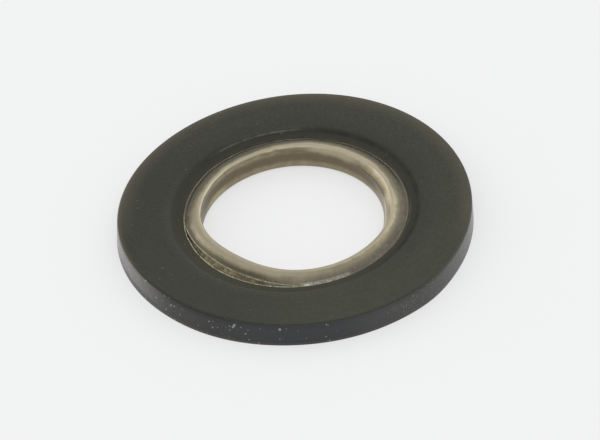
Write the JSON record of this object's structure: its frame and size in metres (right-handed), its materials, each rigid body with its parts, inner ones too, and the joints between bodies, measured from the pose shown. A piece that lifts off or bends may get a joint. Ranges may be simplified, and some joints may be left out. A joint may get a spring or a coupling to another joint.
{
  "type": "rubber washer",
  "caption": "Flat round rubber washer with a shallow pressed ring round its hole and a rolled sheet-metal eyelet lining the bore.",
  "frame": {"origin": "on the washer's axis, in the plane of its underside", "axes": "+Z along the bore's axis, towards the side where the eyelet's crown stands proud; the part is round, so X and Y are free"},
  "size_m": [0.038, 0.038, 0.0028],
  "materials": {
    "rubber": "matt, fine grained, dusty",
    "eyelet_metal": "satin, dulled tan"
  },
  "bodies": {
    "root": {"rubber_disc": "rubber", "metal_eyelet": "eyelet_metal"}
  },
  "joints": []
}
